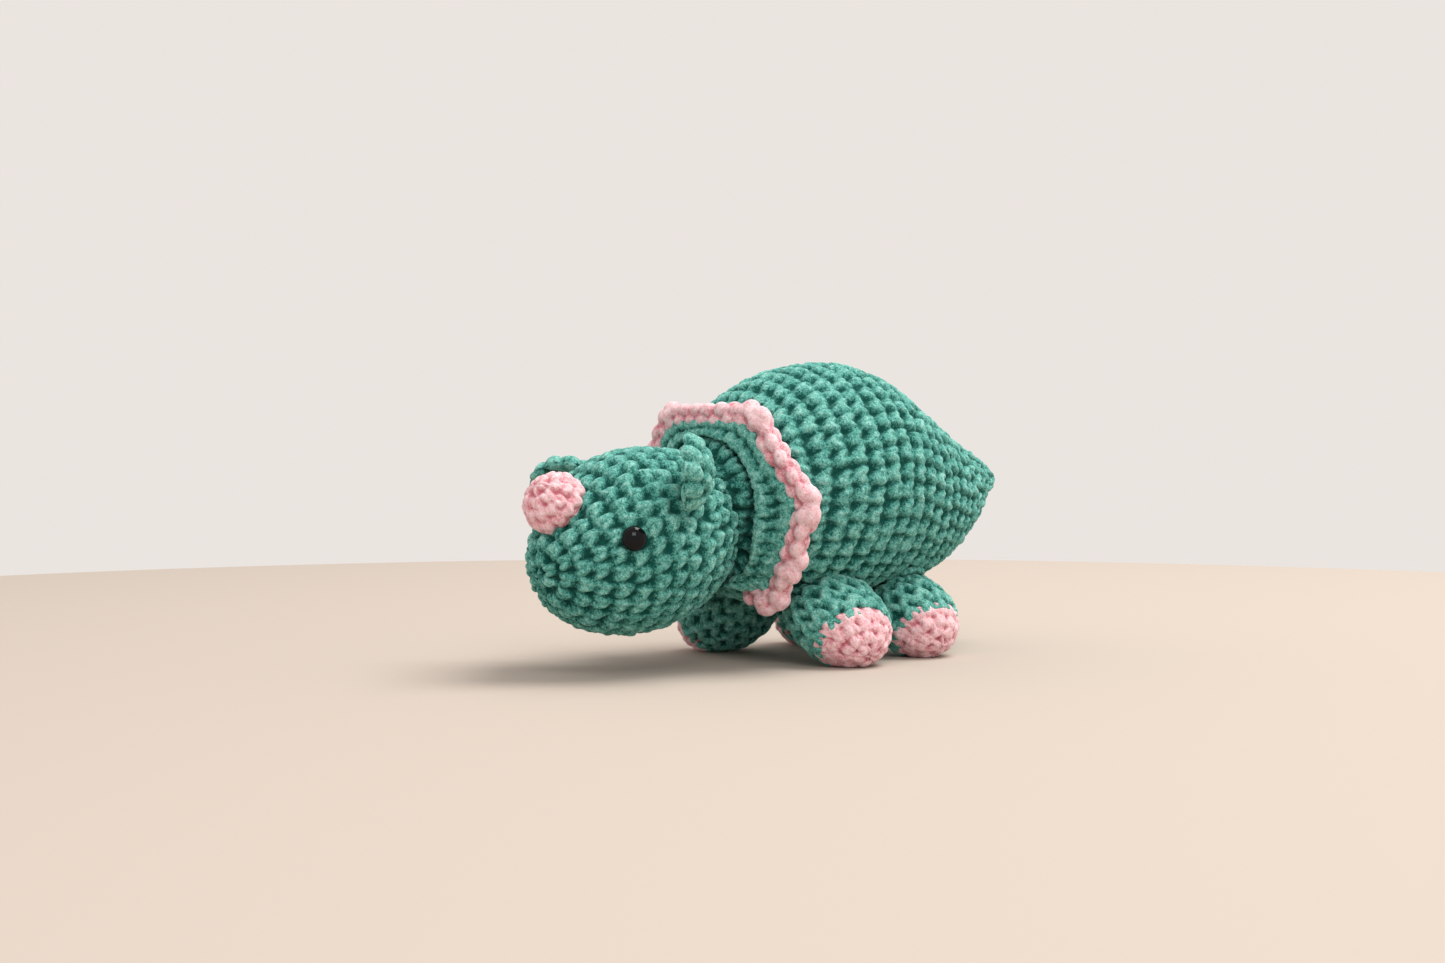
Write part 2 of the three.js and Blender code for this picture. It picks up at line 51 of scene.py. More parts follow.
BODY_RADIUS, BODY_WIDEST_Y, BODY_FRONT, BODY_REAR = 53.0, -22.0, 80.0, 122.5
TAIL_POWER, SPINE_Z, NECK_DROP = 1.66, 77.0, 10.0
TAIL_SAG, TAIL_SAG_START_Y, TAIL_SAG_LENGTH = 7.4, -10.0, 112.0
NECK = np.array([0.0, -74.0, 67.0])
NECK_BALL = 30.8
DOME_START = 8.0            # the neck's dome starts this far ahead of the ball's centre
SHOULDER_SET_BACK = 12.0

HEAD = np.array([0.0, -124.3, 54.0])
HEAD_TILT, HEAD_HALF_LENGTH, HEAD_RADIUS, SNOUT_NARROWING = math.radians(15), 49.0, 37.5, 0.08
HORN = np.array([0.0, -164.0, 69.5])
HORN_RADIUS, HORN_SUNK, HORN_LEAN, HORN_SEAM_RADIUS = 12.8, 3.2, 0.8, 9.5
EYE_RADIUS, EYE_DOME, EYE_ALONG_HEAD, EYE_ANGLE = 5.0, 3.6, 22.8, math.radians(18)
EYE_STEM, EYE_STEM_LENGTH = 1.8, 10.0

EAR_X, EAR_Y, EAR_Z = 42.0, -127.0, {"left": 82.5, "right": 78.5}
EAR_DROOP = {"left": 0.0, "right": math.radians(50)}
EAR_HALF, EAR_THICKNESS = 16.0, 6.0
EAR_CLEAR = 1.075           # ears are kept out of this many times the head's egg, 2 mm clear of its stitches
EAR_ROUNDS = ((13.0, 10, 3.0, 5.2), (7.0, 6, 3.2, 4.4), (0.5, 2, 3.0, 4.0))

FRILL_CORNERS = [(14, 27), (30, 24.5), (44.5, 42), (56.5, 69), (29.7, 110)]
FRILL_Y, FRILL_LEAN, FRILL_FLARE, FRILL_OUTER_RADIUS = -72.0, 0.17, 0.36, 55.0
FRILL_THICKNESS, FRILL_INNER_RADIUS, FRILL_STITCH = 5.5, 29.5, 7.2
BORDER_RADIUS, BORDER_STITCH = 4.5, 7.8

LEG_TILT, LEG_FORWARD = math.radians(32), math.radians(6)
LEGS = {
    "front": {"x": 34.5, "y": -41.0, "along": 26.5, "wide": 22.3, "across": 17.5},
    "rear": {"x": 29.5, "y": 10.5, "along": 23.3, "wide": 20.0, "across": 16.8},
}
FOOT_FLAT, SOLE_START, LEG_SEAM_RADIUS = 1.2, 0.5, 10.5
SIDES = {"left": 1, "right": -1}

X, Y, Z = np.eye(3)
head_forward = np.array([0.0, -math.cos(HEAD_TILT), -math.sin(HEAD_TILT)])
head_up = np.array([0.0, -math.sin(HEAD_TILT), math.cos(HEAD_TILT)])


def unit(v):
    return v / np.maximum(np.linalg.norm(v, axis=-1, keepdims=True), 1e-9)


def smooth(x, low, high):
    t = np.clip((x - low) / (high - low), 0, 1)
    return t * t * (3 - 2 * t)


def row_frame(points):
    """Points in this file's millimetres as metres in the row frame."""
    return (np.asarray(points) + [0, CENTRE_Y, 0]) / 1000


# ---- the smooth shapes under the stitches ----


def body_axis_z(y):
    front, middle = NECK[1] - SHOULDER_SET_BACK, -2.0
    drop = NECK_DROP * (np.clip(middle - y, 0, middle - front) / (middle - front)) ** 2
    along = np.clip((y - TAIL_SAG_START_Y) / TAIL_SAG_LENGTH, 0, 1)
    return SPINE_Z - drop - TAIL_SAG * np.sin(math.pi * along) ** 2


def body_radius(y):
    along = y - BODY_WIDEST_Y
    front = np.sqrt(np.clip(1 - (along / BODY_FRONT) ** 2, 0, 1))
    rear = 1 - np.clip(along / BODY_REAR, 0, 1) ** TAIL_POWER
    return BODY_RADIUS * np.where(along < 0, front, rear)


def resampled(profile, step):
    """A profile of (along, radius) points at even steps of arc length, with the arc length of each."""
    profile = np.asarray(profile, float)
    length = np.r_[0, np.cumsum(np.linalg.norm(np.diff(profile, axis=0), axis=1))]
    s = np.linspace(0, length[-1], max(8, int(length[-1] / step)) + 1)
    return s, np.stack([np.interp(s, length, profile[:, k]) for k in range(2)], 1)


def turn_round(profile, sides, centre, axis, up):
    """Points of a surface of revolution, as rows along the profile and columns round the axis."""
    side = np.cross(up, axis)
    angle = np.arange(sides) / sides * 2 * math.pi
    ring = np.cos(angle)[:, None] * side + np.sin(angle)[:, None] * up
    return centre + profile[:, None, 0:1] * axis + profile[:, None, 1:2] * ring[None]


# ---- rounds of stitches, as heights over a grid of rows and columns ----


class Stitches:
    """Puffs of yarn laid over a grid. Columns wrap round, and radius turns an angle into millimetres."""

    def __init__(self, s, radius, sides, depth):
        self.s, self.radius = s, np.maximum(radius, 0.3)
        self.angle = np.arange(sides) / sides * 2 * math.pi
        self.height = np.full((len(s), sides), -depth, float)
        self.tone = np.zeros((len(s), sides))
        self.kind = np.zeros((len(s), sides), int)

    def puff(self, s, angle, wide, long, turn, high, low, tone, kind=0):
        reach = max(wide, long)
        rows = np.nonzero(np.abs(self.s - s) < reach)[0]
        if not len(rows):
            return
        rows = slice(rows[0], rows[-1] + 1)
        offset = (self.angle - angle + math.pi) % (2 * math.pi) - math.pi
        narrow = self.radius[rows].min()
        columns = np.nonzero(np.abs(offset) * narrow < reach)[0]
        if not len(columns):
            return
        dx = offset[columns][None] * self.radius[rows][:, None]
        dy = (self.s[rows] - s)[:, None]
        u = dx * math.cos(turn) + dy * math.sin(turn)
        v = dy * math.cos(turn) - dx * math.sin(turn)
        rest = 1 - np.abs(u / wide) ** 2.3 - np.abs(v / long) ** 2.6
        height = np.where(rest > 0, low + (high - low) * np.maximum(rest, 0) ** 0.5, -99)
        where = np.ix_(np.arange(rows.start, rows.stop), columns)
        higher = height > self.height[where]
        self.height[where] = np.where(higher, height, self.height[where])
        self.tone[where] = np.where(higher, tone, self.tone[where])
        self.kind[where] = np.where(higher, kind, self.kind[where])

    def rounds(self, start, end, look, rng, kind=0):
        """One continuous spiral of stitches between two arc lengths. Each is a V of two fat strands."""
        pitch = look["pitch"]
        turn, angle, first = 0.0, rng.uniform(0, 2 * math.pi), rng.uniform(0, 2 * math.pi)
        while start + turn * pitch < end:
            s = start + turn * pitch
            radius = float(np.interp(s, self.s, self.radius))
            stitches = max(5, round(2 * math.pi * radius / look["width"])) + look["lean"]
            span = 2 * math.pi * radius / stitches
            tone, swell, twist = rng.normal(0, 1), rng.normal(1, 0.05), rng.normal(0, 0.10)
            drift, slip = rng.normal(0, 0.045) * pitch, rng.normal(0, 0.25)
            for leg, size in ((-1, look["first"]), (1, look["second"])):
                self.puff(
                    s + drift + leg * look["step"] * pitch,
                    first + angle + (leg * look["spread"] * span + slip) / max(radius, 1.5),
                    look["wide"] * span * size * swell,
                    look["long"] * pitch * size * swell,
                    leg * look["slant"] + twist,
                    look["high"] + rng.normal(0, 0.22) - (1 - size) * 1.5,
                    look["low"],
                    tone + rng.normal(0, 0.4),
                    kind)
            turn += 1 / stitches
            angle += 2 * math.pi / stitches


SINGLE = {"pitch": 9.2, "width": 8.2, "lean": 0.42, "first": 0.9, "second": 1.0, "step": 0.05, "spread": 0.19,
          "wide": 0.335, "long": 0.60, "slant": 0.26, "high": 0.7, "low": -3.7}


def softened(values, closed_rows=False):
    around = (np.roll(values, 1, 1) + np.roll(values, -1, 1)) / 2
    if closed_rows:
        along = (np.roll(values, 1, 0) + np.roll(values, -1, 0)) / 2
    else:
        along = values.copy()
        along[1:-1] = (values[2:] + values[:-2]) / 2
    return 0.56 * values + 0.22 * around + 0.22 * along


def grid_normals(points, closed_rows=False):
    across = np.roll(points, -1, 1) - np.roll(points, 1, 1)
    if closed_rows:
        along = np.roll(points, -1, 0) - np.roll(points, 1, 0)
    else:
        along = np.gradient(points, axis=0)
    inside = points.mean(axis=1, keepdims=True)
    normal = unit(np.cross(across, along))
    if (normal * (points - inside)).sum() < 0:
        normal = -normal
    if not closed_rows:
        normal[0], normal[-1] = unit(normal[1].mean(axis=0)), unit(normal[-2].mean(axis=0))
    return normal


# ---- meshes and pieces ----


def raised(points, stitches, rng, mask=None, closed_rows=False, pile=0.09):
    """The grid pushed out by its stitches, with a light unevenness for the pile."""
    height = softened(softened(stitches.height, closed_rows), closed_rows)
    height = height + softened(rng.normal(0, pile, height.shape), closed_rows)
    if mask is not None:
        height = height * mask
    if not closed_rows:
        height[0], height[-1] = height[0].mean(), height[-1].mean()
    # shade is the stitch height, 0 in the gaps and 1 on the tops, which the yarn's colour ramp turns into
    # painted shade in the gaps.
    stitches.shade = np.clip((height + 2.4) / 2.9, 0, 1)
    return points + grid_normals(points, closed_rows) * height[..., None]


def faces_of(rows, columns, closed_rows):
    i, j = np.meshgrid(np.arange(rows if closed_rows else rows - 1), np.arange(columns), indexing="ij")
    i2, j2 = (i + 1) % rows, (j + 1) % columns
    corners = [i * columns + j, i * columns + j2, i2 * columns + j2, i2 * columns + j]
    return np.stack([c.ravel() for c in corners], 1)


def piece(name, points, faces, material, values=None):
    """A mesh object from points in millimetres, with merged poles and faces that point outwards."""
    mesh = bpy.data.meshes.new(name)
    mesh.from_pydata(row_frame(points).tolist(), [], faces if isinstance(faces, list) else faces.tolist())
    for key, data in (values or {}).items():
        attribute = mesh.attributes.new(key, "FLOAT", "POINT")
        attribute.data.foreach_set("value", np.asarray(data, np.float32).ravel())
    obj = bpy.data.objects.new(name, mesh)
    bpy.context.scene.collection.objects.link(obj)
    bpy.context.view_layer.objects.active = obj
    bpy.ops.object.select_all(action="DESELECT")
    obj.select_set(True)
    bpy.ops.object.mode_set(mode="EDIT")
    bpy.ops.mesh.select_all(action="SELECT")
    bpy.ops.mesh.remove_doubles(threshold=1e-6)
    bpy.ops.mesh.dissolve_degenerate(threshold=1e-7)
    bpy.ops.mesh.normals_make_consistent(inside=False)
    bpy.ops.object.mode_set(mode="OBJECT")
    mesh.materials.append(material)
    mesh.polygons.foreach_set("use_smooth", [True] * len(mesh.polygons))
    return obj


def grid_piece(name, points, material, stitches=None, closed_rows=False, capped=True):
    rows, columns = points.shape[:2]
    flat = points.reshape(-1, 3)
    faces = faces_of(rows, columns, closed_rows).tolist()
    values = {}
    if stitches is not None:
        values = {"tone": stitches.tone.ravel(), "shade": stitches.shade.ravel()}
    if not closed_rows and capped:
        flat = np.vstack([flat, points[0].mean(axis=0), points[-1].mean(axis=0)])
        first, last = rows * columns, rows * columns + 1
        for j in range(columns):
            k = (j + 1) % columns
            faces.append([k, j, first])
            faces.append([(rows - 1) * columns + j, (rows - 1) * columns + k, last])
        for key, data in values.items():
            values[key] = np.r_[data, data[:columns].mean(), data[-columns:].mean()]
    return piece(name, flat, faces, material, values)


def shell_piece(name, outer, inner, keep, material, stitches):
    """A closed shell from the kept faces of a grid: its outer face, its inner face and the walls between."""
    rows, columns = outer.shape[:2]
    quads = faces_of(rows, columns, False)[keep.ravel()]
    edges = {}
    for quad in quads.tolist():
        for a, b in zip(quad, quad[1:] + quad[:1]):
            if (b, a) in edges:
                del edges[(b, a)]
            else:
                edges[(a, b)] = True
    count = rows * columns
    walls = [[b, a, a + count, b + count] for a, b in edges]
    faces = quads.tolist() + (quads[:, ::-1] + count).tolist() + walls
    used = np.zeros(2 * count, bool)
    used[np.unique(np.array([v for f in faces for v in f]))] = True
    index = np.cumsum(used) - 1
    points = np.vstack([outer.reshape(-1, 3), inner.reshape(-1, 3)])[used]
    values = {
        "tone": np.r_[stitches.tone.ravel(), stitches.tone.ravel()][used],
        # The inner face and walls get shade 0, the yarn's darkest painted shade.
        "shade": np.r_[stitches.shade.ravel(), np.zeros(count)][used],
    }
    return piece(name, points, [[int(index[v]) for v in f] for f in faces], material, values)


# ---- materials ----


def chenille(name, gap_shade, mid, tip):
    """Velvety yarn: painted shade makes it darker in the gaps between stitches, and its sheen makes it paler
    on the pile at grazing angles.
    """
    material = bpy.data.materials.new(name)
    material.use_nodes = True
    nodes, links = material.node_tree.nodes, material.node_tree.links
    shader = nodes["Principled BSDF"]
    shader.inputs["Roughness"].default_value = 0.92
    shader.inputs["Specular IOR Level"].default_value = 0.15
    shader.inputs["Sheen Weight"].default_value = 0.35
    shader.inputs["Sheen Roughness"].default_value = 0.45
    shader.inputs["Sheen Tint"].default_value = (*tip, 1)

    def node(kind, **settings):
        made = nodes.new(kind)
        for key, value in settings.items():
            setattr(made, key, value)
        return made

    def math_node(operation, a, b=None, clamp=False):
        made = node("ShaderNodeMath", operation=operation, use_clamp=clamp)
        for slot, value in enumerate((a, b)):
            if value is None:
                continue
            if isinstance(value, (int, float)):
                made.inputs[slot].default_value = value
            else:
                links.new(value, made.inputs[slot])
        return made.outputs[0]

    shade = node("ShaderNodeAttribute", attribute_name="shade").outputs["Fac"]
    tone = node("ShaderNodeAttribute", attribute_name="tone").outputs["Fac"]
    where = node("ShaderNodeTexCoord").outputs["Object"]

    def noise(scale, detail, rough=0.6):
        made = node("ShaderNodeTexNoise")
        made.inputs["Scale"].default_value = scale
        made.inputs["Detail"].default_value = detail
        made.inputs["Roughness"].default_value = rough
        links.new(where, made.inputs["Vector"])
        return made.outputs["Fac"]

    pile, clump = noise(1500, 3, 0.7), noise(520, 2)
    # A ramp from painted shade in the gaps between stitches, through the mid colour, to the paler tips of the
    # puffs.
    ramp = node("ShaderNodeValToRGB")
    ramp.color_ramp.elements[0].position, ramp.color_ramp.elements[0].color = 0.2, (*gap_shade, 1)
    ramp.color_ramp.elements[1].position, ramp.color_ramp.elements[1].color = 1.0, (*tip, 1)
    middle = ramp.color_ramp.elements.new(0.6)
    middle.color = (*mid, 1)
    speckle = math_node("MULTIPLY", math_node("SUBTRACT", pile, 0.5), 1.5)
    cloud = math_node("MULTIPLY", math_node("SUBTRACT", clump, 0.5), 1.1)
    level = math_node("ADD", math_node("MULTIPLY", shade, 0.66), math_node("MULTIPLY", tone, 0.03))
    level = math_node("ADD", level, math_node("ADD", speckle, cloud), clamp=True)
    links.new(level, ramp.inputs["Fac"])
    links.new(ramp.outputs["Color"], shader.inputs["Base Color"])

    bump = node("ShaderNodeBump")
    bump.inputs["Strength"].default_value = 0.75
    bump.inputs["Distance"].default_value = 0.0012
    links.new(math_node("ADD", math_node("MULTIPLY", pile, 0.6), math_node("MULTIPLY", clump, 0.7)),
              bump.inputs["Height"])
    links.new(bump.outputs["Normal"], shader.inputs["Normal"])
    return material


def plain(name, colour, roughness):
    material = bpy.data.materials.new(name)
    material.use_nodes = True
    shader = material.node_tree.nodes["Principled BSDF"]
    shader.inputs["Base Color"].default_value = (*colour, 1)
    shader.inputs["Roughness"].default_value = roughness
    return material


# Each yarn's first colour is painted shade for the gaps between its stitches.
teal = chenille("teal_chenille", (0.003, 0.085, 0.068), (0.10, 0.38, 0.325), (0.36, 0.66, 0.585))
pink = chenille("pink_chenille", (0.66, 0.22, 0.27), (0.88, 0.55, 0.59), (0.95, 0.76, 0.79))
fibre = plain("fibre_fill", (0.86, 0.85, 0.82), 1.0)
eye_black = plain("eye_plastic", (0.002, 0.002, 0.003), 0.06)
eye_black.node_tree.nodes["Principled BSDF"].inputs["Specular IOR Level"].default_value = 0.2


# ---- camera ----

camera = bpy.data.objects.new("camera", bpy.data.cameras.new("camera"))
bpy.context.scene.collection.objects.link(camera)
bpy.context.scene.camera = camera
camera.data.lens, camera.data.sensor_width = 50, 36
camera.data.clip_start, camera.data.clip_end = 0.02, 20
camera.location = (0.6416, -0.6034, 0.0922)
aim = Vector((-0.0333, -0.0081, 0.0767))
camera.rotation_mode = "QUATERNION"
camera.rotation_quaternion = (aim - camera.location).to_track_quat("-Z", "Y")


# ---- body ----

STEP = 0.95


def build_body():
    rng = np.random.default_rng(11)
    ys = np.linspace(BODY_WIDEST_Y + BODY_REAR, NECK[1] - DOME_START, 220)
    profile = np.stack([ys, body_radius(ys)], 1)
    dome = np.linspace(math.acos(DOME_START / NECK_BALL), 0, 40)
    neck = np.stack([NECK[1] - NECK_BALL * np.cos(dome), NECK_BALL * np.sin(dome)], 1)
    profile = np.vstack([profile, neck])
    s, profile = resampled(profile, STEP)
    points = turn_round(profile, int(2 * math.pi * BODY_RADIUS / STEP), np.zeros(3), Y, Z)
    points[..., 2] += body_axis_z(profile[:, 0])[:, None]
    stitches = Stitches(s, profile[:, 1], points.shape[1], 3.0)
    stitches.rounds(0.5, s[-1], SINGLE, rng)
    under_head = unit(points - NECK) @ head_forward * (points[..., 1] < NECK[1])
    stitches.height -= 0.9 * smooth(under_head, math.cos(math.radians(78)), math.cos(math.radians(68)))
    mask = 1 - smooth(under_head, math.cos(math.radians(52)), math.cos(math.radians(46)))
    cover = grid_piece("crochet_body", raised(points, stitches, rng, mask), teal, stitches)
    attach(cover, "body")
    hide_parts("body_cover")
    return cover


# ---- head ----


def head_profile():
    """From the nose back to the sewn edge, then into the hollow that sits on the neck."""
    angle = np.linspace(math.pi / 2, -math.pi / 2, 400)
    egg = np.stack([HEAD_HALF_LENGTH * np.sin(angle), HEAD_RADIUS * np.cos(angle)], 1)
    to_neck = (NECK - HEAD) @ head_forward
    hollow = NECK_BALL + 0.5
    outside = np.hypot(egg[:, 0] - to_neck, egg[:, 1]) > hollow
    egg = egg[: np.nonzero(~outside)[0][0]]
    rim = math.atan2(egg[-1, 1], egg[-1, 0] - to_neck)
    arc = np.linspace(rim, 0, 50)
    return egg, np.stack([to_neck + hollow * np.cos(arc), hollow * np.sin(arc)], 1)


def slim_snout(points):
    """The nose half is a little slimmer, all of it taken off the top."""
    local = points - HEAD
    along, up, side = local @ head_forward, local @ head_up, local @ X
    slim = SNOUT_NARROWING * smooth(along / HEAD_HALF_LENGTH, 0.1, 0.8)
    ring = np.hypot(up, side)
    return HEAD + along[..., None] * head_forward + (side * (1 - slim))[..., None] * X + (
        up * (1 - slim) - ring * slim)[..., None] * head_up


def on_head(along, angle, side, depth=0.0):
    radius = HEAD_RADIUS * math.sqrt(1 - (along / HEAD_HALF_LENGTH) ** 2)
    slim = SNOUT_NARROWING * float(smooth(along / HEAD_HALF_LENGTH, 0.1, 0.8))
    reach = radius * (1 - slim) - depth
    return HEAD + head_forward * along + head_up * (reach * math.sin(angle) - radius * slim) + X * (
        side * reach * math.cos(angle))


def eye_outward(side):
    sideways = X * side * HEAD_HALF_LENGTH * math.cos(EYE_ANGLE)
    return unit(sideways + head_up * HEAD_HALF_LENGTH * math.sin(EYE_ANGLE) + head_forward * EYE_ALONG_HEAD)


def build_head():
    rng = np.random.default_rng(23)
    egg, hollow = head_profile()
    s, profile = resampled(np.vstack([egg, hollow]), 0.9)
    egg_length = np.linalg.norm(np.diff(egg, axis=0), axis=1).sum()
    columns = int(2 * math.pi * HEAD_RADIUS / 0.9)
    points = slim_snout(turn_round(profile, columns, HEAD, head_forward, head_up))
    stitches = Stitches(s, profile[:, 1], points.shape[1], 3.0)
    stitches.rounds(0.5, egg_length, SINGLE | {"pitch": 8.0, "width": 8.0, "lean": 0.46}, rng)
    mask = 1 - smooth(s, egg_length - 1, egg_length + 3)[:, None]
    points = raised(points, stitches, rng, mask)
    for side in (1, -1):
        centre, out = on_head(EYE_ALONG_HEAD, EYE_ANGLE, side), eye_outward(side)
        offset = points - centre
        above = offset @ out
        radius = np.linalg.norm(offset - above[..., None] * out, axis=-1)
        sink = (1 - smooth(radius, EYE_RADIUS - 0.5, EYE_RADIUS + 2.5)) * np.clip(above + 0.3, 0, None)
        near = np.abs(above) < 8
        points = points - (sink * near)[..., None] * out
    cover = grid_piece("crochet_head", points, teal, stitches)
    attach(cover, "head")
    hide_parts("head_cover")
    return cover


def build_eye(name, side):
    centre, out = on_head(EYE_ALONG_HEAD, EYE_ANGLE, side, -0.3), eye_outward(side)
    dome = np.linspace(0, math.pi / 2, 14)
    profile = [(-EYE_STEM_LENGTH, 0), (-EYE_STEM_LENGTH, EYE_STEM), (0, EYE_STEM), (0, EYE_RADIUS - 0.3)]
    profile += [(0.3 + (EYE_DOME - 0.3) * math.sin(a), EYE_RADIUS * math.cos(a)) for a in dome]
    points = turn_round(np.array(profile), 48, centre, out, unit(np.cross(out, X)))
    eye = grid_piece(f"safety_eye_{name}", points, eye_black, capped=False)
    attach(eye, "head")
    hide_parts(f"eye_{name}")


def build_horn():
    rng = np.random.default_rng(31)
    up = unit(head_up + HORN_LEAN * head_forward)
    angle = np.linspace(0, math.pi - math.acos(HORN_SUNK / HORN_RADIUS) + 0.12, 200)
    ball = np.stack([HORN_RADIUS * np.cos(angle), HORN_RADIUS * np.sin(angle)], 1)
    base = np.linspace(1, 0, 12)[:, None] * [[0, ball[-1, 1]]] + [[ball[-1, 0], 0]]
    s, profile = resampled(np.vstack([ball, base[1:]]), 0.6)
    points = turn_round(profile, 130, HORN, up, np.cross(X, up))
    stitches = Stitches(s, profile[:, 1], 130, 1.9)
    look = SINGLE | {"pitch": 5.6, "width": 6.0, "high": 0.5, "low": -1.6}
    ball_length = HORN_RADIUS * angle[-1]
    stitches.rounds(0.5, ball_length, look, rng)
    mask = 1 - smooth(s, ball_length, ball_length + 2)[:, None]
    cover = grid_piece("crochet_horn", raised(points, stitches, rng, mask, pile=0.07), pink, stitches)
    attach(cover, "horn")
    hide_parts("horn_cover")
    return cover


# ---- ears ----


def build_ear(name, side):
    """A cupped round leaf, with a fat round of stitches along its rim and a smaller one inside it."""
    rng = np.random.default_rng(41 + side)
    out = np.array([side * math.sqrt(0.5), -math.sqrt(0.5), 0.0])
    level = np.array([-side * math.sqrt(0.5), -math.sqrt(0.5), 0.0])
    facing = level * math.cos(EAR_DROOP[name]) - Z * math.sin(EAR_DROOP[name])
    upward = Z * math.cos(EAR_DROOP[name]) + level * math.sin(EAR_DROOP[name])
    centre = np.array([side * EAR_X, EAR_Y, EAR_Z[name]])
    half = EAR_HALF - 1.0
    rows, columns = 64, 132
    level_row = np.sin(np.linspace(-math.pi / 2, math.pi / 2, rows))
    angle = np.arange(columns) / columns * 2 * math.pi
    width = half * np.sqrt(np.clip(1 - level_row**2, 0, 1))
    along = width[:, None] * np.cos(angle)
    up = np.repeat(level_row[:, None] * half, columns, 1)
    reach = np.hypot(along, up)
    side_of_leaf = np.sign(np.sin(angle))[None]
    through = side_of_leaf * EAR_THICKNESS / 2 * np.sqrt(np.clip((1 - reach / half) * 5, 0, 1))
    points = np.stack([along, up, 7.5 * (reach / half) ** 2 - 4.5 + through], -1)
    stitches = Stitches(np.arange(rows, dtype=float), np.ones(rows), columns, 1.7)
    for ring, (at, count, across, length) in enumerate(EAR_ROUNDS):
        for face in (-1, 1):
            for k in range(count):
                turn = (k + 0.5 * ring + rng.normal(0, 0.06)) / count * 2 * math.pi
                slant = 0.45 * face + rng.normal(0, 0.1)
                high, tone = 0.9 + rng.normal(0, 0.25), rng.normal(0, 1)
                dx, dy = along - at * math.cos(turn), up - at * math.sin(turn)
                outward = dx * math.cos(turn) + dy * math.sin(turn)
                onward = dy * math.cos(turn) - dx * math.sin(turn)
                u = outward * math.cos(slant) + onward * math.sin(slant)
                v = onward * math.cos(slant) - outward * math.sin(slant)
                rest = 1 - np.abs(u / across) ** 2.2 - np.abs(v / length) ** 2.4
                swell = -2 + (high + 2) * np.maximum(rest, 0) ** 0.5
                height = np.where((rest > 0) & (side_of_leaf * face >= 0), swell, -9)
                higher = height > stitches.height
                stitches.height = np.where(higher, height, stitches.height)
                stitches.tone = np.where(higher, tone, stitches.tone)
    points = raised(points, stitches, rng)
    points = centre + points[..., 0:1] * out + points[..., 1:2] * upward + points[..., 2:3] * facing
    from_head = points - HEAD
    ahead = from_head @ head_forward
    sideways = np.linalg.norm(np.cross(from_head, head_forward), axis=-1)
    share_of_egg = np.hypot(ahead / HEAD_HALF_LENGTH, sideways / HEAD_RADIUS)
    points = HEAD + from_head * np.maximum(1, EAR_CLEAR / np.maximum(share_of_egg, 0.1))[..., None]
    ear = grid_piece(f"crochet_ear_{name}", points, teal, stitches)
    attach(ear, f"ear_{name}")
    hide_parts(f"ear_{name}")


# ---- frill ----


def frill_y(x, z):
    radius = np.hypot(x, z - NECK[2])
    lean = FRILL_LEAN * np.maximum(0, z - FRILL_CORNERS[3][1])
    flare = FRILL_FLARE * smooth(z, FRILL_CORNERS[1][1], NECK[2])
    return FRILL_Y - lean - flare * np.maximum(0, FRILL_OUTER_RADIUS - radius)


def frill_line(inset, step):
    """The frill's outline moved inwards, with rounded corners, at even steps: (x, z) and arc length."""
    half = np.array(FRILL_CORNERS, float)
    outline = np.vstack([half, (half * [-1, 1])[::-1]])
    points = [outline[0]]
    for a, b in zip(outline, outline[1:]):
        points += [a + (b - a) * share for share in (0.12, 0.31, 0.5, 0.69, 0.88)]
    points = np.array(points + [outline[-1]])
    points = points - unit(points - [0, NECK[2]]) * inset
    s, line = resampled(points, step)
    for _ in range(3):
        line[1:-1] = (line[2:] + line[:-2] + 2 * line[1:-1]) / 4
    return s, line


def frill_frames(line):
    point = np.stack([line[:, 0], frill_y(line[:, 0], line[:, 1]), line[:, 1]], 1)
    tangent = unit(np.gradient(point, axis=0))
    inward = unit(np.stack([-line[:, 0], np.zeros(len(line)), NECK[2] - line[:, 1]], 1))
    inward = unit(inward - (inward * tangent).sum(1)[:, None] * tangent)
    return point, tangent, inward


def shoulder_y(radius):
    """The front of the shoulders and of the neck's dome, at a distance from the neck's axis."""
    dome = NECK[1] - np.sqrt(np.clip(NECK_BALL**2 - radius**2, 0, None))
    front = BODY_WIDEST_Y - BODY_FRONT * np.sqrt(np.clip(1 - (radius / BODY_RADIUS) ** 2, 0, 1))
    join = NECK[1] - DOME_START
    return np.where(radius < NECK_BALL, np.minimum(dome, join), np.maximum(front, join))


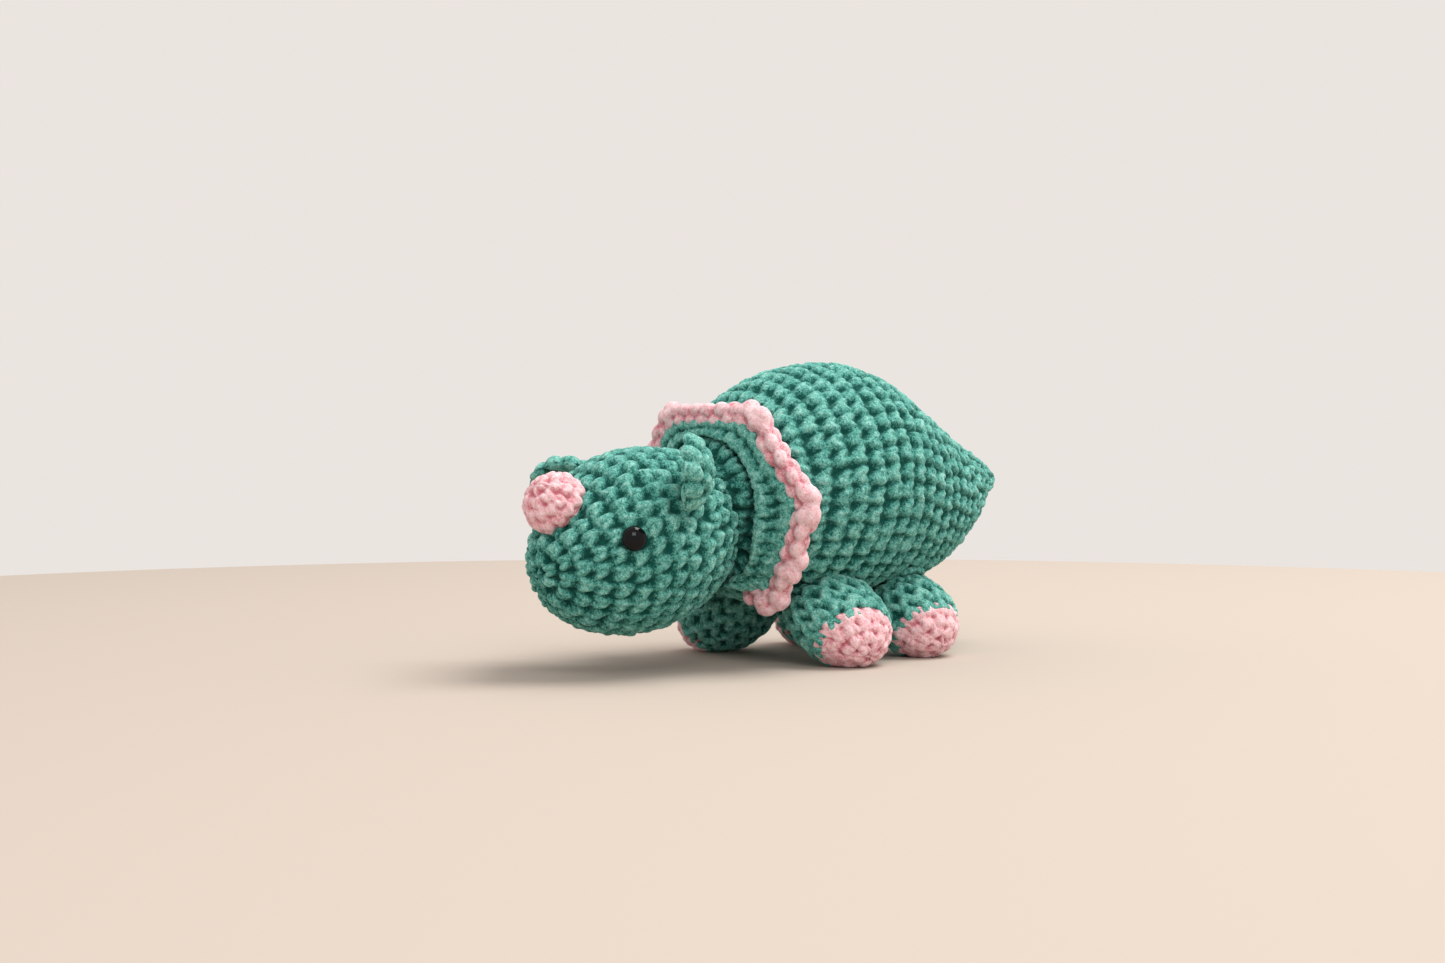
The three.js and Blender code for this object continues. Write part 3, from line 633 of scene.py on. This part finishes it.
def build_frill():
    rng = np.random.default_rng(53)
    s, line = frill_line(BORDER_RADIUS * 1.3, 0.9)
    columns = 96
    angle = np.arange(columns) / columns * 2 * math.pi
    share = 1 - np.abs(1 - angle / math.pi)
    roundness = np.sqrt(np.clip(np.abs(np.sin(angle)) * 3, 0, 1))
    through = FRILL_THICKNESS / 2 * np.sign(np.sin(angle)) * roundness
    from_neck = line - [0, NECK[2]]
    distance = np.linalg.norm(from_neck, axis=1)
    inner_radius = FRILL_INNER_RADIUS + 1.5 * smooth(NECK[2] - line[:, 1], 5, 38)
    span = distance - np.minimum(inner_radius, distance - 5)
    radius = distance[:, None] - span[:, None] * share
    x, z = (from_neck[:, k : k + 1] * radius / distance[:, None] + NECK[2] * k for k in (0, 1))
    low = smooth(NECK[2] - z, 4, 30)
    taper = smooth((1 - share)[None] / (0.16 + 0.3 * low), 0, 1)
    on_shoulders = shoulder_y(radius) + 3.0 + 1.4 * low - 4.2 * taper
    y = np.minimum(frill_y(x, z) + 1.5 * low * (1 - taper), on_shoulders)
    points = np.stack([x, y - through[None] * (0.3 + 0.7 * taper), z], -1)
    stitches = Stitches(s, span / math.pi, columns, 2.4)
    rows = max(2, round(float(np.median(span)) / 7.4))
    for k in range(int(s[-1] / FRILL_STITCH)):
        reach = float(np.interp((k + 0.5) * FRILL_STITCH, s, span)) / rows
        for j in range(2 * rows):
            tone, slip = rng.normal(0, 1), rng.normal(0, 0.3)
            for leg in (-1, 1):
                stitches.puff(
                    (k + 0.5 + 0.3 * (j % 2)) * FRILL_STITCH + leg * 1.7 + slip,
                    (j + 0.5) / rows * math.pi + rng.normal(0, 0.04),
                    0.58 * reach, 2.5, 0.28 * leg, 0.9 + rng.normal(0, 0.25), -2.6, tone)
    panel = grid_piece("crochet_frill", raised(points, stitches, rng), teal, stitches)
    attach(panel, "body")
    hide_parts("frill_panel")


def build_border():
    rng = np.random.default_rng(59)
    s, line = frill_line(BORDER_RADIUS, 0.8)
    point, tangent, inward = frill_frames(line)
    back = np.cross(tangent, inward)
    columns = 44
    angle = np.arange(columns) / columns * 2 * math.pi
    ends = np.sqrt(np.clip(1 - (1 - np.clip(np.minimum(s, s[-1] - s) / 4, 0, 1)) ** 2, 0.001, 1))
    radius = BORDER_RADIUS * ends
    across, through = np.cos(angle)[None, :, None], np.sin(angle)[None, :, None]
    section = inward[:, None] * across * 1.12 + back[:, None] * through
    points = point[:, None] + section * radius[:, None, None]
    stitches = Stitches(s, radius, columns, 1.9)
    for k in range(int(s[-1] / BORDER_STITCH) + 1):
        for j in range(4):
            stitches.puff(
                (k + 0.5 * (j % 2)) * BORDER_STITCH + rng.normal(0, 0.5),
                (j + 0.5) / 4 * 2 * math.pi + rng.normal(0, 0.08),
                4.0, 4.4, (0.5, -0.4, 0.4, -0.5)[j], 0.9 + rng.normal(0, 0.35), -3.0, rng.normal(0, 1))
    corners = np.vstack([np.array(FRILL_CORNERS[1:]), np.array(FRILL_CORNERS[1:]) * [-1, 1]])
    for corner in corners:
        at = s[np.argmin(np.linalg.norm(line - corner, axis=1))]
        for side in (-1, 1):
            for off, round_by, wide, turn, high in ((3.1, 0.2, 4.0, 0.4, 2.6), (3.4, 1.3, 3.4, 0.5, 1.8)):
                stitches.puff(at + off * side, math.pi + round_by * side, wide, 3.7, turn * side, high, -2.2,
                              rng.normal(0, 1))
    border = grid_piece("crochet_frill_border", raised(points, stitches, rng, pile=0.08), pink, stitches)
    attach(border, "body")
    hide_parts("frill_border")


# ---- legs ----


def leg_frame(leg, side):
    along = np.array([side * math.cos(LEG_FORWARD) * math.cos(LEG_TILT),
                      -math.sin(LEG_FORWARD) * math.cos(LEG_TILT), -math.sin(LEG_TILT)])
    reach_down = math.hypot(leg["along"] * along[2], leg["across"] * math.sqrt(1 - along[2] ** 2))
    centre = np.array([side * leg["x"], leg["y"], reach_down - FOOT_FLAT])
    spine = np.array([0, leg["y"], float(body_axis_z(leg["y"]))])
    to_body = unit(spine - centre)
    return along, centre, to_body, spine - to_body * float(body_radius(leg["y"]))


def clear_of_body(points, gap):
    """Points inside the belly are moved out to just below its surface."""
    axis = body_axis_z(points[..., 1])
    offset = np.stack([points[..., 0], np.zeros(points.shape[:-1]), points[..., 2] - axis], -1)
    distance = np.linalg.norm(offset, axis=-1)
    short = np.maximum(0, body_radius(points[..., 1]) + gap - distance)
    return points + unit(offset) * short[..., None]


def build_leg(end, name, side, seed):
    rng = np.random.default_rng(seed)
    leg = LEGS[end]
    along, centre, to_body, seam = leg_frame(leg, side)
    fore = unit(Y - along * along[1])
    up = np.cross(fore, along)
    angle = np.linspace(0, math.pi, 300)
    s, profile = resampled(np.stack([leg["along"] * np.cos(angle), leg["wide"] * np.sin(angle)], 1), 0.62)
    columns = int(2 * math.pi * leg["wide"] / 0.62)
    points = turn_round(profile, columns, np.zeros(3), along, up)
    squeeze = leg["across"] / leg["wide"] - 1
    points = centre + points + (points @ up)[..., None] * up * squeeze
    stitches = Stitches(s, profile[:, 1] * (1 + squeeze / 2), columns, 2.4)
    change = float(np.interp(-SOLE_START * leg["along"], -profile[:, 0], s))
    sole_look = SINGLE | {"pitch": 6.0, "width": 6.4, "high": 0.35, "low": -1.3, "wide": 0.40}
    teal_look = SINGLE | {"pitch": 7.4, "width": 9.0, "wide": 0.31, "long": 0.74, "slant": 0.5, "high": 0.7,
                          "low": -2.8, "spread": 0.22}
    stitches.rounds(0.5, change, sole_look, rng)
    stitches.rounds(change - 2.5, s[-1], teal_look, rng, kind=1)
    inner = points - grid_normals(points) * 4.5
    outer = raised(points, stitches, rng, pile=0.07)
    outer, inner = clear_of_body(outer, 0.4), clear_of_body(inner, 1.0)
    outer[..., 2], inner[..., 2] = np.maximum(outer[..., 2], 0), np.maximum(inner[..., 2], 3.5)
    is_teal = stitches.kind == 1
    is_teal[s < change - 2.4], is_teal[s > change + 1.8] = False, True
    near = np.nonzero(is_teal.all(axis=1))[0][0]
    is_teal[near:] = True
    count = is_teal.astype(int)
    count = count + np.roll(count, -1, 1)
    teal_faces = (count[:-1] + count[1:]) >= 2
    label = f"{end}_{name}"
    cover = shell_piece(f"crochet_leg_{label}", outer, inner, teal_faces, teal, stitches)
    sole = shell_piece(f"crochet_sole_{label}", outer, inner, ~teal_faces, pink, stitches)
    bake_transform(cover)
    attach(sole, f"leg_{label}")
    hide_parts(f"leg_{label}")
    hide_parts(f"sole_{label}")
    return cover, sole


# ---- fibre, seams and the parts that are hidden ----


def wad(name, node, body, centre, half, axis, up, hollow=None):
    """A lump of stuffing: an uneven egg, cut back from the neck's ball where it meets it."""
    rng = np.random.default_rng(len(name))
    angle = np.linspace(0, math.pi, 40)
    points = turn_round(np.stack([half[0] * np.cos(angle), half[1] * np.sin(angle)], 1), 64, centre, axis, up)
    lumps = softened(softened(rng.normal(0, 1.2, points.shape[:2])))
    lumps[0], lumps[-1] = lumps[0].mean(), lumps[-1].mean()
    points = points - grid_normals(points) * np.abs(lumps)[..., None]
    if hollow is not None:
        offset = points - NECK
        distance = np.linalg.norm(offset, axis=-1, keepdims=True)
        points = np.where(distance < hollow, NECK + offset / np.maximum(distance, 1) * hollow, points)
    made = grid_piece(name, points, fibre, capped=False)
    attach(made, body)
    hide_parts(node)


def yarn_ring(name, node, body, centre, axis, radius, material, seed):
    """Whip stitches along a seam: a ring of short fat turns of yarn."""
    rng = np.random.default_rng(seed)
    rows, columns = int(2 * math.pi * radius / 0.6), 20
    turn = np.arange(rows) / rows * 2 * math.pi
    side = unit(np.cross(axis, Y if abs(axis[1]) < 0.9 else X))
    up = np.cross(axis, side)
    outward = np.cos(turn)[:, None] * side + np.sin(turn)[:, None] * up
    angle = np.arange(columns) / columns * 2 * math.pi
    tube = outward[:, None] * np.cos(angle)[None, :, None] + axis[None, None] * np.sin(angle)[None, :, None]
    points = centre + outward[:, None] * radius + tube * 1.5
    s = np.arange(rows) * 2 * math.pi * radius / rows
    stitches = Stitches(s, np.full(rows, 1.5), columns, 0.6)
    for k in range(int(s[-1] / 4.2) + 1):
        stitches.puff((k + 0.5) * 4.2, rng.uniform(0, 6), 9, 2.0, 0.35, 0.15, -0.6, rng.normal(0, 1))
    made = grid_piece(name, raised(points, stitches, rng, closed_rows=True, pile=0.03), material, stitches,
                      closed_rows=True)
    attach(made, body)
    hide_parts(node)


# ---- assembly ----

padded = [build_body(), build_head(), build_horn()]
for eye_name, eye_side in SIDES.items():
    build_eye(eye_name, eye_side)
    build_ear(eye_name, eye_side)
build_frill()
build_border()
for number, (leg_end, leg_name) in enumerate((e, n) for e in LEGS for n in SIDES):
    padded.extend(build_leg(leg_end, leg_name, SIDES[leg_name], 61 + number))
    leg_along, leg_centre, leg_inward, leg_seam = leg_frame(LEGS[leg_end], SIDES[leg_name])
    leg_size, leg_label = LEGS[leg_end], f"{leg_end}_{leg_name}"
    wad(f"fibre_leg_{leg_label}", f"leg_stuffing_{leg_label}", f"leg_{leg_label}",
        leg_centre - leg_inward * 1.5, (leg_size["along"] - 7, leg_size["across"] - 7), leg_along,
        unit(np.cross(leg_along, Y)))
    yarn_ring(f"seam_leg_{leg_label}", f"leg_seam_{leg_label}", "body", leg_seam, leg_inward,
              LEG_SEAM_RADIUS, teal, 71 + number)

wad("fibre_body", "body_stuffing", "body", np.array([0, 0.0, 73.0]), (62, 38), Y, Z, NECK_BALL)
wad("fibre_neck", "neck_wad", "neck", NECK, (24, 24), Y, Z)
wad("fibre_head", "head_stuffing", "head", HEAD + head_forward * 3, (40, 29), head_forward, head_up,
    NECK_BALL + 1)
wad("fibre_horn", "horn_stuffing", "horn", HORN, (7.5, 7.5), head_forward, head_up)
seam_radius = HEAD_RADIUS - 15
seam_along = math.sqrt((NECK_BALL - 1.5) ** 2 - seam_radius**2)
yarn_ring("seam_neck", "neck_seam", "body", NECK + head_forward * seam_along, head_forward,
          seam_radius, teal, 81)
horn_out = unit(head_up + HORN_LEAN * head_forward)
yarn_ring("seam_horn", "horn_seam", "head", HORN - horn_out * HORN_SUNK, horn_out,
          HORN_SEAM_RADIUS, pink, 83)


# ---- floor, light and surroundings ----


def build_stage():
    bpy.ops.mesh.primitive_circle_add(vertices=128, radius=0.78, fill_type="NGON", location=(0, 0, -0.0002))
    floor = bpy.context.object
    floor.name = "floor"
    floor.data.materials.append(plain("floor_cloth", (0.445, 0.385, 0.333), 0.95))
    world = bpy.data.worlds.new("studio")
    bpy.context.scene.world = world
    world.use_nodes = True
    background = world.node_tree.nodes["Background"]
    background.inputs["Color"].default_value = (0.83, 0.78, 0.745, 1)
    for name, place, size, power, colour in (
        ("key", (0.45, 1.00, 2.30), 1.5, 72, (1.0, 0.98, 0.95)),
        ("fill", (0.9, -0.6, 0.9), 0.5, 4, (1.0, 1.0, 1.0)),
    ):
        light = bpy.data.objects.new(name, bpy.data.lights.new(name, "AREA"))
        bpy.context.scene.collection.objects.link(light)
        light.data.size, light.data.energy, light.data.color = size, power, colour
        light.location = place
        light.rotation_mode = "QUATERNION"
        light.rotation_quaternion = (Vector((0, 0, 0.06)) - Vector(place)).to_track_quat("-Z", "Y")
    bpy.context.scene.view_settings.view_transform = "Standard"


build_stage()
